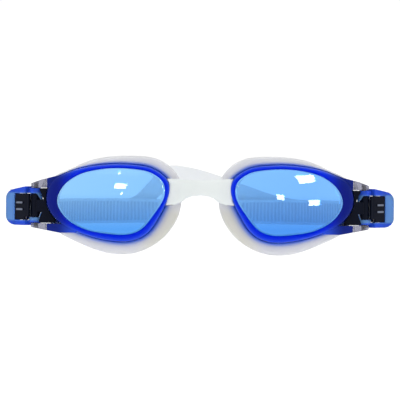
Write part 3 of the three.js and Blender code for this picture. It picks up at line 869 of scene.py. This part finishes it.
def build_temples():
    """Every stiff piece at the temple, with its CAD node, its look and the body it rides on."""
    rows = [
        (frame_piece("left_rim"), "frame", "frame", "cup"),
        (temple_block_piece("left_flared_block"), "temple_block", "black", "cup"),
        (pin_piece("left_hinge_pin", PIN_AT, PIN_RADIUS, (-PIN_REACH, PIN_REACH), 0.15),
         "swivel_pin", "steel", "cup"),
        (barrel_piece("left_barrel_sleeve"), "pivot_barrel", "black", "buckle"),
        (buckle_piece("left_strap_buckle"), "buckle", "buckle", "buckle"),
        (lever_piece("left_press_lever"), "release_lever", "black", "lever"),
    ]
    for place in ARMS:
        rows.append((ear_piece(f"left_{place}_knuckle", place), f"{place}_ear", "ear", "cup"))
    for label, node, at, radius in (
        ("lever_axle", "lever_pin", LEVER_PIN, LEVER_PIN_RADIUS),
        ("strap_roller", "strap_bar", STRAP_BAR, STRAP_BAR_RADIUS),
    ):
        axle = pin_piece(f"left_{label}", arm_plan(*at), radius, AXLE_LEVELS, 0.1)
        rows.append((axle, node, "steel", "buckle"))
    for piece, node, look, rides in rows:
        for side_name in SIDES:
            body = CUP_BODY[side_name] if rides == "cup" else f"{side_name}_{rides}_body"
            name = piece.name.replace("left_", f"{side_name}_")
            obj = piece if side_name == "left" else mirrored_copy(piece, name)
            finish_piece(obj, f"{side_name}_{node}", look, body)


# ---- Strap ----

def base_level(y):
    return STRAP_LEVEL + (BACK_LEVEL - STRAP_LEVEL) * smooth_step((y - SEAM_Y) / SINK_SPAN)


def rear_level(x, y):
    span = HUMP_RIGHT if x < HUMP_X else HUMP_LEFT
    growth = smooth_step((y - HUMP_START) / HUMP_GROWTH)
    return base_level(y) + HUMP_RISE * growth * smooth_step(1 - abs(x - HUMP_X) / span)


def resample(path, step):
    """Points at even spacing along a path."""
    p = np.array(path, float)
    length = np.concatenate([[0], np.cumsum(np.linalg.norm(np.diff(p, axis=0), axis=1))])
    count = max(2, round(length[-1] / step))
    at = np.linspace(0, length[-1], count + 1)
    return np.stack([np.interp(at, length, p[:, k]) for k in range(2)], axis=1), at


def half_loop(inwards):
    """Half of the head loop from the seam to the middle of the back, moved inwards."""
    to_span = 40
    curve = catmull(LOOP, to_span)[to_span:]
    tangent = tangents(curve)
    return curve + inwards * np.stack([-tangent[:, 1], tangent[:, 0]], axis=1)


# The corners of a band's section that lie on its ribbed stretch.
RIBBED = (3, 4, 5)


def band_piece(name, flat_path, level_at, outward=1):
    """A ribbed silicone band on edge: raised borders, and fine ribs across its outer face."""
    path, at = resample(flat_path, RIB_PITCH / 6)
    tangent = tangents(path)
    half, top = STRAP_THICK / 2, STRAP_HEIGHT / 2
    stations, groove_shades = [], []
    for i, (p, d) in enumerate(zip(path, tangent)):
        normal = (d[1] * outward, -d[0] * outward)
        ridge = (0.5 + 0.5 * math.cos(2 * math.pi * at[i] / RIB_PITCH)) ** 2
        rib = half - 0.3 + 0.28 * ridge
        groove_shades.append(1 - ridge)
        shrink = 0.12 if i in (0, len(path) - 1) else 0
        section = [
            (half - 0.12, -top), (half, -top + 0.15), (half, -top + 1.1), (rib, -top + 1.35), (rib, 0),
            (rib, top - 1.35), (half, top - 1.1), (half, top - 0.15), (half - 0.12, top), (-half + 0.12, top),
            (-half, top - 0.15), (-half, 0), (-half, -top + 0.15), (-half + 0.12, -top),
        ]
        level = level_at(p[0], p[1])
        stations.append([
            ((p[0] + a * (1 - shrink) * normal[0]) * MM, (p[1] + a * (1 - shrink) * normal[1]) * MM,
             (level + b * (1 - shrink * 0.1)) * MM)
            for a, b in section
        ])
    band = bar_object(name, stations, LOOKS["strap"])
    # Painted shade in the grooves between the ribs, deepest at each groove's bottom.
    groove = band.data.attributes.new("groove", "FLOAT", "POINT")
    size = len(stations[0])
    for i, depth in enumerate(groove_shades):
        for k in RIBBED:
            groove.data[i * size + k].value = depth
    return band


def strap_turn_path():
    """From the seam into the buckle, round its bar and back out, on the +X side."""
    u, n = STRAP_BAR
    leave, spacing, seam = BUCKLE_END - 1, 2 * TURN_RADIUS, SEAM_Y - 0.1
    outer = catmull([(LOOP[1][0], seam), LOOP[0], (80.2, 14.6), arm_plan(leave, n + TURN_RADIUS)], 12)
    turn = [
        arm_plan(u + TURN_RADIUS * math.cos(t), n + TURN_RADIUS * math.sin(t))
        for t in (math.pi / 2 + math.pi * i / 16 for i in range(17))
    ]
    inner = catmull([
        arm_plan(leave, n - TURN_RADIUS), (76.7, 15.6),
        (LOOP[0][0] - spacing, 22), (LOOP[1][0] - spacing, seam),
    ], 12)
    return np.array([*outer, *turn, *inner])


def keeper_piece(name):
    middle = LOOP[1][0] - TURN_RADIUS
    reach, rise = TURN_RADIUS + STRAP_THICK / 2 + 0.4, STRAP_HEIGHT / 2 + 0.35

    def box(wall, width):
        across, up = reach + wall, rise + wall
        outline = box_outline(middle - across, middle + across, STRAP_LEVEL - up, STRAP_LEVEL + up)
        return prism(name, outline, SEAM_Y - width / 2, SEAM_Y + width / 2, elevation, LOOKS["strap"])

    keeper = box(KEEPER_WALL, KEEPER_WIDTH)
    combine(keeper, box(0, KEEPER_WIDTH + 4), "DIFFERENCE")
    soften(keeper, 0.2, 4)
    return keeper


def mirrored(path, side):
    return np.array(path) * np.array([side, 1])


def build_strap():
    left, right = half_loop(0), mirrored(half_loop(0), -1)
    rear = band_piece("head_strap", np.vstack([right, left[::-1]]), rear_level, outward=-1)
    finish_piece(rear, "rear_strap", "strap")
    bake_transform(rear)
    for side_name, side in SIDES.items():
        tail_path = mirrored([p for p in half_loop(2 * TURN_RADIUS) if p[0] > TAIL_END_X], side)
        tail = band_piece(f"{side_name}_free_tail", tail_path, lambda x, y: base_level(y), outward=-side)
        finish_piece(tail, f"{side_name}_strap_tail", "strap")
        if side > 0:
            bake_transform(tail)
        else:
            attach(tail, "root")
        turn = band_piece(f"{side_name}_buckle_strap", mirrored(strap_turn_path(), side),
                          lambda x, y: STRAP_LEVEL, outward=-side)
        finish_piece(turn, f"{side_name}_strap_turn", "strap")
        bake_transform(turn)
    keeper = keeper_piece("left_keeper_loop")
    finish_piece(mirrored_copy(keeper, "right_keeper_loop"), "right_strap_keeper", "strap", CUP_BODY["right"])
    finish_piece(keeper, "left_strap_keeper", "strap", CUP_BODY["left"])


# ---- Nose bridge ----

BRIDGE_TOP = [(0, 10.9), (5, 11.0), (9, 11.3), (13.4, 11.7)]
BRIDGE_BOTTOM = [(0, 4.65), (3.2, 4.3), (5.6, 3.4), (7.6, 1.8), (10, 0.7), (13.4, 0.3)]
BRIDGE_FRONT, BRIDGE_BACK = -19.2, -14.2


def rim_x_at(level):
    """Where the rim's nose side lies at a level, on the +X side."""
    steps = [math.pi / 2 + math.pi * i / 240 for i in range(241)]
    points = sorted(
        (CUP_CENTRE[1] + rim_edge(t) * math.sin(t), CUP_CENTRE[0] + rim_edge(t) * math.cos(t)) for t in steps
    )
    return float(np.interp(level, [p[0] for p in points], [p[1] for p in points]))


def bridge_piece(name):
    across = 41
    section = []
    for t in np.linspace(0, 2 * math.pi, 28, endpoint=False):
        cos, sin = math.cos(t), math.sin(t)
        section.append((math.copysign(abs(cos) ** 0.42, cos), math.copysign(abs(sin) ** 0.42, sin)))
    top_x, top_z = zip(*BRIDGE_TOP)
    low_x, low_z = zip(*BRIDGE_BOTTOM)
    stations = []
    for s in np.linspace(-1, 1, across):
        reach = abs(s)
        nominal = 13.4 * reach
        high, low = np.interp(nominal, top_x, top_z), np.interp(nominal, low_x, low_z)
        middle, rise = (high + low) / 2, (high - low) / 2
        end_blend = smooth_step((reach - 0.35) / 0.65)
        depth = (BRIDGE_BACK - BRIDGE_FRONT) / 2
        centre_y = (BRIDGE_FRONT + BRIDGE_BACK) / 2
        points = []
        for a, b in section:
            z = middle + rise * b
            end_x = rim_x_at(z) - 0.15
            x = nominal * (1 - end_blend) + end_x * reach * end_blend
            y = centre_y + depth * a
            if a < 0:
                y += 0.45 * math.exp(-((nominal - 10.2) / 1.6) ** 2 - ((b - 0.05) / 0.45) ** 2)
            points.append((math.copysign(1, s) * x * MM, y * MM, z * MM))
        stations.append(points)
    bridge = bar_object(name, stations, LOOKS["bridge"])
    soften(bridge, 0.25, 6)

    def notch(x, y, z):
        """The thin shadows where the bridge's edges slip behind the rims."""
        out = abs(x)
        from_low = z - float(np.interp(out, low_x, low_z))
        from_top = float(np.interp(out, top_x, top_z)) - z
        below = smooth_step(1.6 - from_low / 0.3) * smooth_step((out - 10.4) / 1.5)
        above = smooth_step(1.6 - from_top / 0.3) * smooth_step((out - 12.0) / 0.8)
        return 0.85 * max(below, above)

    mark(bridge, "notch", notch)
    return bridge


def build_bridge():
    bridge = bridge_piece("nose_bridge_moulding")
    finish_piece(bridge, "nose_bridge", "bridge")
    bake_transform(bridge)


# ---- Studio ----

IMAGE_WIDTH = 0.1681
CAMERA_DISTANCE = 1.3
AIM_LEVEL = 0.0023
CAMERA_ELEVATION = math.radians(1.0)
CAMERA_ROLL = math.radians(0.46)
FLOOR_DROP = 0.04
GLINT_DISTANCE = 1.1
GLINT_RADIANCE = 30
# Reflections of small lights on the lenses: the side, the place as (x, z) and the size, in mm.
GLINTS = [
    (-1, (32.6, 8.3), (4.9, 2.0)), (-1, (32.0, 5.3), (0.9, 0.9)), (-1, (33.2, 13.6), (0.9, 0.9)),
    (1, (43.8, 11.6), (7.2, 3.4)), (1, (47.0, 1.5), (4.6, 2.8)), (1, (32.8, 4.2), (2.8, 1.9)),
]


def area_light(name, location, aim, size, radiance):
    light = bpy.data.lights.new(name, "AREA")
    light.shape = "RECTANGLE"
    light.size, light.size_y = size
    light.energy = radiance * math.pi * size[0] * size[1]
    obj = bpy.data.objects.new(name, light)
    obj.location = location
    obj.rotation_euler = (Vector(aim) - Vector(location)).to_track_quat("-Z", "Y").to_euler()
    obj.visible_camera = False
    bpy.context.scene.collection.objects.link(obj)
    return obj


def lens_front(x, z):
    """Depth of a lens's front face at (x, z), in mm on the +X side."""
    angle, radius = polar(x, z)
    return RIM_FRONT + sweep_at(x) + dome(radius / lens_edge(angle))


def reflected(side, x, z, eye):
    """Where a light has to be for the eye to see it in the lens at (x, z), and that point of the lens."""
    step = 0.5
    slope_x = (lens_front(x + step, z) - lens_front(x - step, z)) / (2 * step)
    slope_z = (lens_front(x, z + step) - lens_front(x, z - step)) / (2 * step)
    normal = Vector((side * slope_x, -1, slope_z)).normalized()
    point = Vector((side * x, lens_front(x, z), z)) * MM
    towards = (eye - point).normalized()
    return point + (2 * normal.dot(towards) * normal - towards) * GLINT_DISTANCE, point


def glint_lights(eye):
    """Lights that only the lenses reflect."""
    lenses = bpy.data.collections.new("lenses")
    for side_name in SIDES:
        lenses.objects.link(bpy.data.objects[f"{side_name}_lens_shell"])
    for i, (side, (x, z), (width, height)) in enumerate(GLINTS):
        centre, point = reflected(side, x, z, eye)
        left, right = (reflected(side, x + half, z, eye)[0] for half in (-width / 2, width / 2))
        low, high = (reflected(side, x, z + half, eye)[0] for half in (-height / 2, height / 2))
        across, upward = (right - left).length, (high - low).length
        light = area_light(f"glint_{i}", centre, point, (across, upward), GLINT_RADIANCE)
        light.visible_diffuse = False
        light.light_linking.receiver_collection = lenses


def build_studio():
    scene = bpy.context.scene
    scene.view_settings.view_transform = "Standard"
    world = bpy.data.worlds.new("studio")
    world.use_nodes = True
    world.node_tree.nodes["Background"].inputs["Color"].default_value = (1, 1, 1, 1)
    world.node_tree.nodes["Background"].inputs["Strength"].default_value = 1.02
    scene.world = world

    lowest = cad_box[0][2] - FLOOR_DROP
    material, _, _, shader, _ = material_nodes("floor_white")
    shader.inputs["Roughness"].default_value = 0.9
    shader.inputs["Base Color"].default_value = (0.9, 0.9, 0.9, 1)
    shader.inputs["Emission Color"].default_value = (1, 1, 1, 1)
    shader.inputs["Emission Strength"].default_value = 0.2
    reach = 12
    corners = [(x, y, lowest) for x, y in box_outline(-reach, reach, -reach, reach)]
    floor = new_object("floor", corners, [(0, 1, 2, 3)], material)

    data = bpy.data.cameras.new("camera")
    data.sensor_width = 36
    aim = Vector((0, 0.012, AIM_LEVEL))
    back = Vector((0, -math.cos(CAMERA_ELEVATION), math.sin(CAMERA_ELEVATION)))
    data.lens = data.sensor_width * CAMERA_DISTANCE / IMAGE_WIDTH
    data.clip_end = 50
    camera = bpy.data.objects.new("camera", data)
    camera.location = aim + back * CAMERA_DISTANCE
    rotation = (-back).to_track_quat("-Z", "Y").to_matrix().to_4x4()
    camera.rotation_euler = (rotation @ Matrix.Rotation(CAMERA_ROLL, 4, "Z")).to_euler()
    scene.collection.objects.link(camera)
    scene.camera = camera

    area_light("key", (-0.5, -0.9, 1.0), (0, 0, 0), (0.8, 0.5), 0.7)
    glint_lights(camera.location.copy())


for side_name, side in SIDES.items():
    build_eyecup(side_name, side)
build_temples()
build_strap()
build_bridge()
build_studio()
